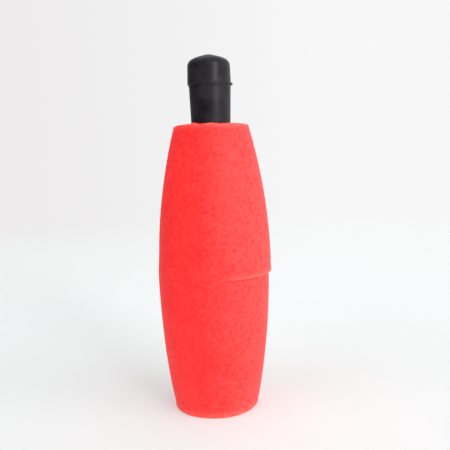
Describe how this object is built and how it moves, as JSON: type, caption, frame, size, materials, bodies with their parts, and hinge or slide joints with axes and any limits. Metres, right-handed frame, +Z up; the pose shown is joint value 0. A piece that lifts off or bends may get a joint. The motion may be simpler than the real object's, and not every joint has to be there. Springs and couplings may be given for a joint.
{
  "type": "bobber float",
  "caption": "Barrel shaped foam fishing float with a tapered plastic peg that locks the line in a central tube.",
  "frame": {"origin": "centre of the flat bottom of the foam body, on the axis of the line bore", "axes": "+Z up along the float's axis towards the peg; the lower foam half is shifted towards -X"},
  "size_m": [0.0256, 0.0254, 0.0786],
  "materials": {
    "foam": "matte",
    "tube": "satin",
    "peg": "satin"
  },
  "bodies": {
    "float_body": {"upper_foam_half": "foam", "lower_foam_half": "foam", "line_tube": "tube"},
    "peg": {"peg": "peg"}
  },
  "joints": [
    {"name": "peg_slide", "type": "slide", "parent": "float_body", "child": "peg", "axis": [0, 0, 1], "range_m": [0, 0.022]}
  ]
}
